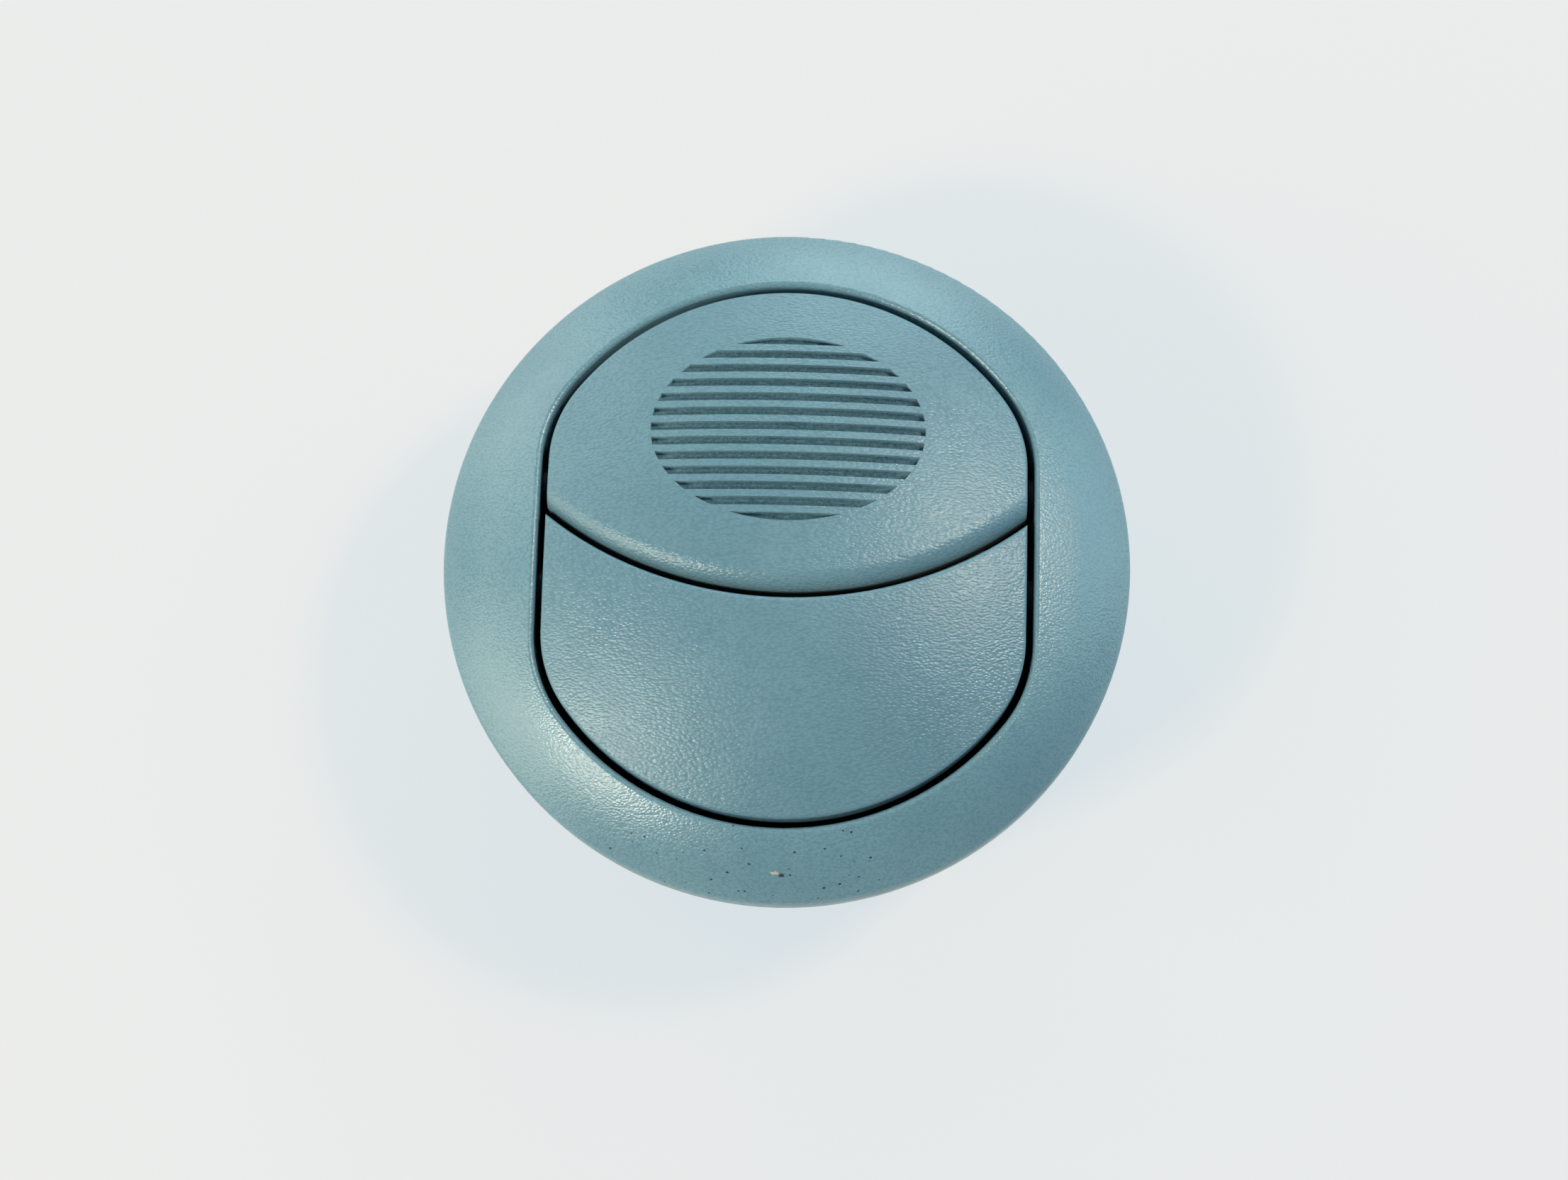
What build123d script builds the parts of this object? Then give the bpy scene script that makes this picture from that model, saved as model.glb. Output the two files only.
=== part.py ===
"""Round dashboard air vent with two linked flaps.

A domed bezel and a flat-sided barrel swivel together inside a snap-in collar.
Two flaps fill the bezel's opening: they turn on shafts through the barrel's flat
cheeks, and a link outside the left cheek keeps them parallel.
The vent lies on its back: +Z points out of the face and z = 0 is the collar's rear end.
All sizes are in millimetres, angles in degrees.
"""

import os
from math import cos, radians, sin, sqrt

from build123d import *

# Opening in the face: a round outline with two flat sides
opening_radius = 35.0
side_flat_depth = 3.75
opening_corner = 16.5

# Bezel
bezel_width = 9.0
dome_radius = 92.0
roll_radius = 24.0
roll_margin = 1.0
bezel_wall = 1.9
rim_rounding = 1.2
rim_gap = 0.35
edge_rounding = 0.6
skirt_height = 7.0
bezel_rib_thickness = 1.0
bezel_rib_reach = 5.0
bezel_rib_gap = 0.3
bezel_rib_angles = (45, 75, 105, 135, 225, 255, 285, 315)

# Snap tongues that hold the bezel on the barrel
tongue_angles = (60, 120, 240, 300)
tongue_width = 8.0
tongue_thickness = 1.1
tongue_length = 9.0
tongue_gap = 0.3
tongue_hook_depth = 1.0
tongue_hook_height = 1.8
tongue_clearance = 0.2

# Flaps
flap_gap = 0.95
flap_wall = 2.0
flap_edge_wall = 1.5
flap_edge_depth = 3.4
flap_rib_thickness = 1.2
flap_rib_spacing = 15.0
lip_rounding = 3.0
divide_radius = 46.1
divide_low = -6.65
divide_gap = 0.7
ledge_reach = 2.2
ledge_thickness = 1.2
ledge_gap = 0.5
ledge_width = 50.0

# Finger grip: grooves that fill an ellipse on the upper flap
grip_width = 34.6
grip_height = 25.0
grip_y = 14.7
groove_pitch = 2.0
groove_width = 1.1
groove_depth = 1.0
groove_count = 13

# Flap shafts and the lugs that take them
upper_pivot_y = 8.6
lower_pivot_y = -4.7
pivot_drop = 5.0
shaft_diameter = 3.0
shaft_flat = 0.5
shaft_tip = 0.4
running_clearance = 0.05
seat_clearance = 0.02
side_play = 0.2
lug_inset = 3.25
lug_thickness = 2.5
lug_hub_radius = 2.9
lug_root_width = 8.0
lug_root_shift = 1.6
boss_radius = 2.4
head_radius = 2.3
head_thickness = 1.2

# Pivot bushes in the cheeks
bush_wall = 0.75
bush_flange_radius = 2.6
bush_flange_thickness = 0.6

# Cranks and link outside the left cheek
crank_length = 5.5
crank_thickness = 1.3
crank_width = 4.0
crank_pin_diameter = 2.2
crank_pin_head_width = 0.3
crank_pin_head_thickness = 0.5
link_gap = 0.15
link_thickness = 1.2
link_width = 3.8

# Stops for the upper crank on the left cheek
flap_travel = 60.0
stop_gap = 0.1
stop_width = 1.6
stop_length = 2.6
stop_thickness = 1.2

# Barrel
duct_wall = 1.6
barrel_rear_z = 3.0
barrel_flange_thickness = 1.5
barrel_flange_clearance = 0.5
bearing_height = 1.6
bearing_thickness = 2.5
bearing_gap = 4.0
rear_bearing_z = 8.0
cheek_half_length = 12.5
cheek_cover = 0.9
cheek_clearance = 0.1
pocket_margin = 1.0

# Swivel hooks at the barrel's rear
hook_angles = (50, 130, 230, 310)
hook_width = 9.0
hook_slot = 1.0
hook_free_length = 13.0
hook_height = 2.0
hook_offset = 0.6
hook_clearance = 0.3
hook_lead_in = 1.2

# Slip ring
slip_ring_width = 1.6
slip_ring_thickness = 0.7
slip_ring_inset = 0.3

# Collar
collar_length = 27.8
spigot_length = 10.0
spigot_wall = 1.7
collar_step = 0.6
collar_lead_in = 0.6
swivel_clearance = 0.3
swivel_play = 0.2
flange_inset = 0.8
flange_thickness = 1.6
groove_bite = 0.8
groove_play = 0.3

# Panel snaps and keys on the collar
snap_angles = (30, 150, 210, 330)
snap_width = 9.0
snap_slot = 1.0
snap_length = 9.0
snap_height = 1.5
snap_ramp = 5.0
snap_nose = 0.8
snap_flange_gap = 1.8
panel_thickness = 2.5
panel_play = 0.3
key_angles = (90, 270)
key_width = 3.0
key_height = 1.0
key_length = 6.0

# Foam duct seal
seal_shift = 2.4
seal_length = 3.2
seal_height = 1.0

# Heights along the vent's axis
flange_front_z = collar_length + flange_thickness
slip_ring_z = flange_front_z + swivel_play
barrel_flange_z = slip_ring_z + slip_ring_thickness
seat_z = barrel_flange_z + barrel_flange_thickness
opening_rim_z = seat_z + skirt_height
dome_centre_z = opening_rim_z - sqrt(dome_radius**2 - opening_radius**2)
apex_z = dome_centre_z + dome_radius
rim_z = flange_front_z + rim_gap
pivot_z = opening_rim_z - pivot_drop
crank_pin_z = pivot_z - crank_length
front_bearing_z = crank_pin_z - link_width / 2 - bearing_gap - bearing_thickness
tongue_end_z = seat_z - tongue_length
hook_z = barrel_rear_z + hook_offset
seal_z = spigot_length + collar_step + seal_shift

# Radii about the vent's axis
bezel_radius = opening_radius + bezel_width
rim_inner_radius = bezel_radius - bezel_wall
barrel_radius = opening_radius + duct_wall
bearing_radius = barrel_radius + bearing_height
bore_radius = bearing_radius + swivel_clearance
spigot_radius = bore_radius + spigot_wall
collar_radius = spigot_radius + collar_step
flange_radius = bezel_radius - flange_inset
barrel_flange_radius = rim_inner_radius - barrel_flange_clearance
tongue_radius = barrel_radius + tongue_gap
hook_groove_radius = bore_radius + groove_bite

# Distances from the middle plane, across the cheeks
cheek_inner_x = opening_radius - side_flat_depth
cheek_outer_x = cheek_inner_x + duct_wall
boss_x = cheek_inner_x - bush_flange_thickness - side_play
lug_outer_x = cheek_inner_x - lug_inset
lug_inner_x = lug_outer_x - lug_thickness
shaft_tip_x = lug_inner_x - shaft_tip
crank_x = cheek_outer_x + side_play
crank_outer_x = crank_x + crank_thickness
link_x = crank_outer_x + link_gap
link_outer_x = link_x + link_thickness
crank_pin_head_x = link_outer_x + link_gap
crank_pin_end_x = crank_pin_head_x + crank_pin_head_thickness

# Fits and shared values
shaft_radius = shaft_diameter / 2
bush_bore_radius = shaft_radius + running_clearance
bush_radius = bush_bore_radius + bush_wall
bush_hole_radius = bush_radius + seat_clearance
crank_pin_radius = crank_pin_diameter / 2
link_hole_radius = crank_pin_radius + running_clearance
cheek_top_z = pivot_z + bush_radius + cheek_cover
divide_centre_y = divide_low + divide_radius
lower_divide_radius = divide_radius + divide_gap
dome_centre = Vector(0, 0, dome_centre_z)
wide = 4 * bezel_radius


def opening_outline(growth):
    """Outline of the face opening, grown outwards by growth."""
    radius = opening_radius + growth
    with BuildSketch(mode=Mode.PRIVATE) as outline:
        Circle(radius)
        Rectangle(2 * (cheek_inner_x + growth), 2 * radius, mode=Mode.INTERSECT)
        fillet(outline.vertices(), opening_corner + growth)
    return outline.sketch


def upper_outline(inset):
    """Outline of the upper flap: the opening inside the dividing circle."""
    with BuildSketch(mode=Mode.PRIVATE) as outline:
        add(opening_outline(-flap_gap - inset))
        with Locations((0, divide_centre_y)):
            Circle(divide_radius - inset, mode=Mode.INTERSECT)
    return outline.sketch


def lower_outline(inset):
    """Outline of the lower flap: the opening outside the dividing circle."""
    with BuildSketch(mode=Mode.PRIVATE) as outline:
        add(opening_outline(-flap_gap - inset))
        with Locations((0, divide_centre_y)):
            Circle(lower_divide_radius + inset, mode=Mode.SUBTRACT)
    return outline.sketch


def ring_segments(inner_radius, outer_radius, width, angles):
    """Short pieces of a ring about the vent's axis, one at each angle."""
    with BuildSketch(mode=Mode.PRIVATE) as segments:
        for angle in angles:
            middle = Location((0, 0, 0), (0, 0, angle)) * Location((outer_radius / 2, 0, 0))
            with Locations(middle):
                Rectangle(outer_radius, width)
        Circle(outer_radius, mode=Mode.INTERSECT)
        Circle(inner_radius, mode=Mode.SUBTRACT)
    return segments.sketch


def ring_barbs(profile, width, angles):
    """Barbs with a turned profile, given as radius and height, one at each angle."""
    with BuildPart(mode=Mode.PRIVATE) as barbs:
        with BuildSketch(Plane.XZ):
            with BuildLine():
                Polyline(*profile, close=True)
            make_face()
        revolve(axis=Axis.Z)
        with BuildSketch():
            add(ring_segments(opening_radius / 2, wide, width, angles))
        extrude(amount=apex_z, mode=Mode.INTERSECT)
    return barbs.part


def ribbed_cells(outline):
    """Outline of the hollow behind a flap, split by upright ribs."""
    with BuildSketch(mode=Mode.PRIVATE) as cells:
        add(outline)
        with GridLocations(flap_rib_spacing, 0, 3, 1):
            Rectangle(flap_rib_thickness, wide, mode=Mode.SUBTRACT)
    return cells.sketch


def keyed_section(clearance):
    """Round section with one flat on top, for a shaft or the bore that takes it."""
    radius = shaft_radius + clearance
    with BuildSketch(mode=Mode.PRIVATE) as section:
        Circle(radius)
        with Locations((0, -shaft_flat)):
            Rectangle(2 * radius, 2 * radius, mode=Mode.INTERSECT)
    return section.sketch


def dome_column(outline, floor_z, depth):
    """Column over an outline, from floor_z up to the dome or depth below it."""
    with BuildPart(mode=Mode.PRIVATE) as column:
        with BuildSketch(Plane.XY.offset(floor_z)):
            add(outline)
        extrude(amount=apex_z - floor_z)
        with Locations(dome_centre):
            Sphere(dome_radius - depth, rotation=(90, 0, 0), mode=Mode.INTERSECT)
    return column.part


def flap_slab(outline):
    """Domed slab over a flap's outline, as deep as the flap's edge."""
    with BuildPart(mode=Mode.PRIVATE) as slab:
        add(dome_column(outline, pivot_z, 0))
        with Locations(dome_centre):
            Sphere(dome_radius - flap_edge_depth, rotation=(90, 0, 0), mode=Mode.SUBTRACT)
    return slab.part


def flap_lugs(pivot_y, root_shift):
    """Two lugs behind a flap, each with a boss and a keyed bore on the pivot axis."""
    with BuildPart(mode=Mode.PRIVATE) as lugs:
        with BuildSketch(Plane.YZ.offset(lug_inner_x)):
            with Locations((pivot_y, pivot_z)):
                Circle(lug_hub_radius)
            with Locations((pivot_y + root_shift, apex_z - flap_edge_depth)):
                Rectangle(lug_root_width, flap_edge_depth)
            make_hull()
        extrude(amount=lug_thickness)
        with Locations(dome_centre):
            Sphere(dome_radius - flap_wall / 2, rotation=(90, 0, 0), mode=Mode.INTERSECT)
        with BuildSketch(Plane.YZ.offset(lug_outer_x)):
            with Locations((pivot_y, pivot_z)):
                Circle(boss_radius)
        extrude(amount=boss_x - lug_outer_x)
        with BuildSketch(Plane.YZ.offset(lug_inner_x)):
            with Locations((pivot_y, pivot_z)):
                add(keyed_section(seat_clearance))
        extrude(amount=boss_x - lug_inner_x, mode=Mode.SUBTRACT)
        mirror(about=Plane.YZ)
    return lugs.part


def keyed_shaft(pivot_y):
    """Right-hand shaft: keyed inside the flap's lug and round in the bush."""
    with BuildPart(mode=Mode.PRIVATE) as shaft:
        with BuildSketch(Plane.YZ.offset(shaft_tip_x)):
            with Locations((pivot_y, pivot_z)):
                add(keyed_section(0))
        extrude(amount=boss_x - shaft_tip_x)
        with BuildSketch(Plane.YZ.offset(boss_x)):
            with Locations((pivot_y, pivot_z)):
                Circle(shaft_radius)
        extrude(amount=crank_x - boss_x)
    return shaft.part


def crank(pivot_y):
    """Left-hand lever with a keyed shaft for the flap and a headed pin for the link."""
    with BuildPart(mode=Mode.PRIVATE) as lever:
        add(mirror(keyed_shaft(pivot_y), about=Plane.YZ))
        with BuildSketch(Plane.YZ.offset(-crank_outer_x)):
            with Locations(Location((pivot_y, pivot_z - crank_length / 2), 90)):
                SlotCenterToCenter(crank_length, crank_width)
        extrude(amount=crank_thickness)
        with BuildSketch(Plane.YZ.offset(-crank_pin_end_x)):
            with Locations((pivot_y, crank_pin_z)):
                Circle(crank_pin_radius)
        extrude(amount=crank_pin_end_x - crank_outer_x)
        with BuildSketch(Plane.YZ.offset(-crank_pin_end_x)):
            with Locations((pivot_y, crank_pin_z)):
                Circle(crank_pin_radius + crank_pin_head_width)
        extrude(amount=crank_pin_head_thickness)
    return lever.part


def pivot_pin(pivot_y):
    """Right-hand pin with a round head outside the cheek."""
    with BuildPart(mode=Mode.PRIVATE) as pin:
        add(keyed_shaft(pivot_y))
        with BuildSketch(Plane.YZ.offset(crank_x)):
            with Locations((pivot_y, pivot_z)):
                Circle(head_radius)
        extrude(amount=head_thickness)
        fillet(pin.edges().sort_by(Axis.X)[-1], head_thickness / 2)
    return pin.part


def pivot_bush(pivot_y):
    """Right-hand bush: a sleeve through the cheek with a flange on the inside."""
    with BuildPart(mode=Mode.PRIVATE) as bush:
        with BuildSketch(Plane.YZ.offset(cheek_inner_x - bush_flange_thickness)):
            with Locations((pivot_y, pivot_z)):
                Circle(bush_flange_radius)
                Circle(bush_bore_radius, mode=Mode.SUBTRACT)
        extrude(amount=bush_flange_thickness)
        with BuildSketch(Plane.YZ.offset(cheek_inner_x)):
            with Locations((pivot_y, pivot_z)):
                Circle(bush_radius)
                Circle(bush_bore_radius, mode=Mode.SUBTRACT)
        extrude(amount=duct_wall)
    return bush.part


def on_dome(edge):
    """True for an edge that lies on the face's dome."""
    return all(abs((edge @ t - dome_centre).length - dome_radius) < 1e-3 for t in (0, 0.3, 0.7, 1))


def on_mouth(edge):
    """True for an edge of the opening in the bezel's dome, not for the dome's own seam."""
    reaches = [sqrt((edge @ t).X ** 2 + (edge @ t).Y ** 2) for t in (0, 0.5, 1)]
    outside_cheeks = min(reaches) > cheek_inner_x - running_clearance
    return on_dome(edge) and outside_cheeks and max(reaches) < opening_radius + running_clearance


def on_lip_corner(edge):
    """True for an edge that runs up the upper flap's corner, at either end of the lip."""
    middle = edge @ 0.5
    side_x = cheek_inner_x - flap_gap
    corner_y = divide_centre_y - sqrt(divide_radius**2 - side_x**2)
    starts_low = abs(min((edge @ 0).Y, (edge @ 1).Y) - corner_y) < 1e-3
    above_back = (middle - dome_centre).length > dome_radius - flap_edge_depth + seat_clearance
    return starts_low and above_back and abs(abs(middle.X) - side_x) < 1e-3


def finish(name, builder):
    """Label a finished piece and write its file."""
    builder.part.label = name
    export_step(builder.part, "parts/" + name + ".step")


os.makedirs("parts", exist_ok=True)

# Bezel: a domed ring that rolls down to its rim, with a skirt round the opening, ribs and snap tongues
roll_start_r = opening_radius + roll_margin
roll_start_z = dome_centre_z + sqrt(dome_radius**2 - roll_start_r**2)
roll_share = roll_radius / dome_radius
roll_centre_r = roll_start_r * (1 - roll_share)
roll_centre_z = roll_start_z + (dome_centre_z - roll_start_z) * roll_share
inner_dome_radius = dome_radius - bezel_wall
inner_roll_radius = roll_radius - bezel_wall
inner_share = inner_dome_radius / dome_radius
rim_centre_r = bezel_radius - rim_rounding
rim_centre_z = roll_centre_z + sqrt((roll_radius - rim_rounding) ** 2 - (rim_centre_r - roll_centre_r) ** 2)
rim_share = roll_radius / (roll_radius - rim_rounding)
hollow_r = cheek_inner_x - bezel_wall
crown = (hollow_r, dome_centre_z + sqrt(dome_radius**2 - hollow_r**2))
roll_start = (roll_start_r, roll_start_z)
shoulder = (
    roll_centre_r + (rim_centre_r - roll_centre_r) * rim_share,
    roll_centre_z + (rim_centre_z - roll_centre_z) * rim_share,
)
equator = (bezel_radius, rim_centre_z)
inner_rim_z = roll_centre_z + sqrt(inner_roll_radius**2 - (rim_inner_radius - roll_centre_r) ** 2)
inner_rim = (rim_inner_radius, inner_rim_z)
inner_roll = (roll_start_r * inner_share, dome_centre_z + (roll_start_z - dome_centre_z) * inner_share)
inner_crown = (hollow_r, dome_centre_z + sqrt(inner_dome_radius**2 - hollow_r**2))
tongue_outer_radius = tongue_radius + tongue_thickness
with BuildPart() as bezel_ring:
    with BuildSketch(Plane.XZ):
        with BuildLine():
            RadiusArc(crown, roll_start, dome_radius)
            RadiusArc(roll_start, shoulder, roll_radius)
            RadiusArc(shoulder, equator, rim_rounding)
            Polyline(equator, (bezel_radius, rim_z), (rim_inner_radius, rim_z), inner_rim)
            RadiusArc(inner_rim, inner_roll, -inner_roll_radius)
            RadiusArc(inner_roll, inner_crown, -inner_dome_radius)
            Line(inner_crown, crown)
        make_face()
    revolve(axis=Axis.Z)
    add(dome_column(opening_outline(duct_wall), seat_z, bezel_wall / 2))
    rib_end = opening_radius + bezel_rib_reach
    rib_outline = ring_segments(opening_radius, rib_end, bezel_rib_thickness, bezel_rib_angles)
    add(dome_column(rib_outline, seat_z + bezel_rib_gap, bezel_wall / 2))
    tongue_outline = ring_segments(tongue_radius, tongue_outer_radius, tongue_width, tongue_angles)
    add(dome_column(tongue_outline, tongue_end_z, bezel_wall / 2))
    hook_inner_radius = tongue_radius - tongue_hook_depth
    with BuildSketch(Plane.XY.offset(tongue_end_z)):
        add(ring_segments(hook_inner_radius, tongue_outer_radius, tongue_width, tongue_angles))
    extrude(amount=tongue_hook_height)
    with BuildSketch(Plane.XY.offset(seat_z)):
        add(opening_outline(0))
    extrude(amount=apex_z - seat_z, mode=Mode.SUBTRACT)
    with BuildSketch(Plane.XY.offset(seat_z)):
        Rectangle(2 * (cheek_outer_x + cheek_clearance), 2 * (cheek_half_length + cheek_clearance))
    extrude(amount=cheek_top_z - seat_z, mode=Mode.SUBTRACT)
    fillet(bezel_ring.edges().filter_by(on_mouth), edge_rounding)
finish("bezel_ring", bezel_ring)

# Upper flap: domed face with a rounded lip, a grooved finger grip and two lugs
with BuildSketch() as grip:
    Ellipse(grip_width / 2, grip_height / 2)
    with GridLocations(0, groove_pitch, 1, groove_count):
        Rectangle(grip_width, groove_width, mode=Mode.INTERSECT)
with BuildPart() as grip_cutter:
    with BuildSketch(Plane.XY.offset(seat_z)):
        with Locations((0, grip_y)):
            add(grip.sketch)
    extrude(amount=apex_z + groove_depth - seat_z)
    with Locations(dome_centre):
        Sphere(dome_radius - groove_depth, rotation=(90, 0, 0), mode=Mode.SUBTRACT)
with BuildPart() as upper_flap:
    add(flap_slab(upper_outline(0)))
    fillet(upper_flap.edges().filter_by(on_dome).sort_by(lambda edge: (edge @ 0.5).Y)[0], lip_rounding)
    side_edges = upper_flap.edges().filter_by(on_dome).sort_by(lambda edge: (edge @ 0.5).Y)[1:]
    fillet(side_edges + upper_flap.edges().filter_by(on_lip_corner), edge_rounding)
    add(dome_column(ribbed_cells(upper_outline(flap_edge_wall)), seat_z, flap_wall), mode=Mode.SUBTRACT)
    add(grip_cutter.part, mode=Mode.SUBTRACT)
    add(flap_lugs(upper_pivot_y, lug_root_shift))
finish("upper_flap", upper_flap)

# Lower flap: domed face, two lugs, and a ledge that closes the gap behind the upper flap's lip
ledge_depth = flap_edge_depth + ledge_gap
with BuildSketch() as ledge_outline:
    with Locations((0, divide_centre_y)):
        Circle(lower_divide_radius + flap_edge_wall)
        Circle(lower_divide_radius - ledge_reach, mode=Mode.SUBTRACT)
    with Locations((0, divide_low)):
        Rectangle(ledge_width, divide_radius, mode=Mode.INTERSECT)
with BuildSketch() as ledge_relief:
    with Locations((0, divide_centre_y)):
        Circle(lower_divide_radius)
with BuildPart() as ledge:
    add(dome_column(ledge_outline.sketch, pivot_z, flap_wall / 2))
    with Locations(dome_centre):
        Sphere(dome_radius - ledge_depth - ledge_thickness, rotation=(90, 0, 0), mode=Mode.SUBTRACT)
with BuildPart() as relief:
    with BuildSketch(Plane.XY.offset(pivot_z)):
        add(ledge_relief.sketch)
    extrude(amount=apex_z - pivot_z)
    with Locations(dome_centre):
        Sphere(dome_radius - ledge_depth, rotation=(90, 0, 0), mode=Mode.SUBTRACT)
with BuildPart() as lower_flap:
    add(flap_slab(lower_outline(0)))
    fillet(lower_flap.edges().filter_by(on_dome), edge_rounding)
    add(dome_column(ribbed_cells(lower_outline(flap_edge_wall)), seat_z, flap_wall), mode=Mode.SUBTRACT)
    add(ledge.part)
    add(relief.part, mode=Mode.SUBTRACT)
    add(flap_lugs(lower_pivot_y, -lug_root_shift))
finish("lower_flap", lower_flap)

# Barrel: a flat-sided duct with cheeks, bearing rings, a front flange, stops and swivel hooks
pocket_half = cheek_half_length + pocket_margin
hook_tip_radius = hook_groove_radius - hook_clearance
hook_cut_width = hook_width + 2 * hook_slot
hook_root = barrel_radius - duct_wall / 2
hook_profile = (
    (hook_root, hook_z),
    (hook_tip_radius - hook_lead_in, hook_z),
    (hook_tip_radius, hook_z + hook_lead_in),
    (hook_tip_radius, hook_z + hook_height),
    (hook_root, hook_z + hook_height),
)
tongue_cut_width = tongue_width + 2 * tongue_clearance
stop_offset = (crank_width + stop_width) / 2 + stop_gap
stop_reach = crank_length - stop_length / 2
open_angle = radians(flap_travel)
open_stop_y = upper_pivot_y - stop_reach * sin(open_angle) - stop_offset * cos(open_angle)
open_stop_z = pivot_z - stop_reach * cos(open_angle) + stop_offset * sin(open_angle)
with BuildSketch() as hook_slots:
    add(ring_segments(opening_radius / 2, bore_radius, hook_cut_width, hook_angles))
    add(ring_segments(opening_radius / 2, bore_radius, hook_width, hook_angles), mode=Mode.SUBTRACT)
with BuildPart() as barrel:
    with BuildSketch(Plane.XY.offset(barrel_rear_z)):
        add(opening_outline(duct_wall))
    extrude(amount=seat_z - barrel_rear_z)
    with BuildSketch(Plane.XY.offset(seat_z)):
        add(opening_outline(duct_wall))
        Rectangle(wide, 2 * cheek_half_length, mode=Mode.INTERSECT)
    extrude(amount=cheek_top_z - seat_z)
    with BuildSketch(Plane.XY.offset(front_bearing_z)):
        Circle(bearing_radius)
    extrude(amount=bearing_thickness)
    with BuildSketch(Plane.XY.offset(rear_bearing_z)):
        Circle(bearing_radius)
        add(ring_segments(barrel_radius, wide, hook_cut_width, hook_angles), mode=Mode.SUBTRACT)
    extrude(amount=bearing_thickness)
    with BuildSketch(Plane.XY.offset(barrel_flange_z)):
        Circle(barrel_flange_radius)
        Rectangle(wide, 2 * pocket_half, mode=Mode.SUBTRACT)
        add(ring_segments(barrel_radius, wide, tongue_cut_width, tongue_angles), mode=Mode.SUBTRACT)
    extrude(amount=barrel_flange_thickness)
    with BuildSketch(Plane.XY.offset(barrel_rear_z)):
        add(opening_outline(0))
    extrude(amount=apex_z - barrel_rear_z, mode=Mode.SUBTRACT)
    with BuildSketch(Plane.XY.offset(tongue_end_z - tongue_clearance)):
        add(ring_segments(opening_radius / 2, bore_radius, tongue_cut_width, tongue_angles))
    extrude(amount=tongue_hook_height + 2 * tongue_clearance, mode=Mode.SUBTRACT)
    with BuildSketch(Plane.XY.offset(barrel_rear_z)):
        add(hook_slots.sketch)
    extrude(amount=hook_free_length, mode=Mode.SUBTRACT)
    add(ring_barbs(hook_profile, hook_width, hook_angles))
    for pivot_y in (upper_pivot_y, lower_pivot_y):
        with BuildSketch(Plane.YZ):
            with Locations((pivot_y, pivot_z)):
                Circle(bush_hole_radius)
        extrude(amount=bore_radius, both=True, mode=Mode.SUBTRACT)
    with BuildSketch(Plane.YZ.offset(-cheek_outer_x - stop_thickness)):
        with Locations((upper_pivot_y + stop_offset, pivot_z - stop_reach)):
            Rectangle(stop_width, stop_length)
        with Locations(Location((open_stop_y, open_stop_z), 90 - flap_travel)):
            Rectangle(stop_length, stop_width)
    extrude(amount=stop_thickness + duct_wall / 2)
finish("barrel", barrel)

# Slip ring under the barrel's flange
slip_ring_radius = barrel_flange_radius - slip_ring_inset
with BuildPart() as slip_ring:
    with BuildSketch(Plane.XY.offset(slip_ring_z)):
        Circle(slip_ring_radius)
        Circle(slip_ring_radius - slip_ring_width, mode=Mode.SUBTRACT)
    extrude(amount=slip_ring_thickness)
finish("slip_ring", slip_ring)

# Pivot bushes, two in each cheek
with BuildPart() as upper_right_bush:
    add(pivot_bush(upper_pivot_y))
finish("upper_right_bush", upper_right_bush)
with BuildPart() as lower_right_bush:
    add(pivot_bush(lower_pivot_y))
finish("lower_right_bush", lower_right_bush)
with BuildPart() as upper_left_bush:
    add(mirror(pivot_bush(upper_pivot_y), about=Plane.YZ))
finish("upper_left_bush", upper_left_bush)
with BuildPart() as lower_left_bush:
    add(mirror(pivot_bush(lower_pivot_y), about=Plane.YZ))
finish("lower_left_bush", lower_left_bush)

# Cranks on the left, pivot pins on the right
with BuildPart() as upper_crank:
    add(crank(upper_pivot_y))
finish("upper_crank", upper_crank)
with BuildPart() as lower_crank:
    add(crank(lower_pivot_y))
finish("lower_crank", lower_crank)
with BuildPart() as upper_pivot_pin:
    add(pivot_pin(upper_pivot_y))
finish("upper_pivot_pin", upper_pivot_pin)
with BuildPart() as lower_pivot_pin:
    add(pivot_pin(lower_pivot_y))
finish("lower_pivot_pin", lower_pivot_pin)

# Link rod between the two crank pins
pivot_spacing = upper_pivot_y - lower_pivot_y
with BuildPart() as link_rod:
    with BuildSketch(Plane.YZ.offset(-link_outer_x)):
        with Locations(((upper_pivot_y + lower_pivot_y) / 2, crank_pin_z)):
            SlotCenterToCenter(pivot_spacing, link_width)
            with GridLocations(pivot_spacing, 0, 2, 1):
                Circle(link_hole_radius, mode=Mode.SUBTRACT)
    extrude(amount=link_thickness)
finish("link_rod", link_rod)

# Collar: a tube with a stepped-down duct spigot, a front flange, a hook groove, panel snaps and keys
snap_top_z = collar_length - snap_flange_gap
snap_cut_width = snap_width + 2 * snap_slot
barb_top_z = collar_length - panel_thickness - panel_play
barb_root = (bore_radius + collar_radius) / 2
barb_tip = collar_radius + snap_height
snap_profile = (
    (barb_root, barb_top_z),
    (barb_tip, barb_top_z),
    (barb_tip, barb_top_z - snap_nose),
    (collar_radius, barb_top_z - snap_ramp),
    (barb_root, barb_top_z - snap_ramp),
)
with BuildSketch() as snap_slots:
    add(ring_segments(opening_radius, flange_radius, snap_cut_width, snap_angles))
    add(ring_segments(opening_radius, flange_radius, snap_width, snap_angles), mode=Mode.SUBTRACT)
collar_profile = (
    (bore_radius, 0),
    (spigot_radius - collar_lead_in, 0),
    (spigot_radius, collar_lead_in),
    (spigot_radius, spigot_length),
    (collar_radius, spigot_length + collar_step),
    (collar_radius, collar_length),
    (flange_radius, collar_length),
    (flange_radius, flange_front_z),
    (bore_radius, flange_front_z),
)
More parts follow.
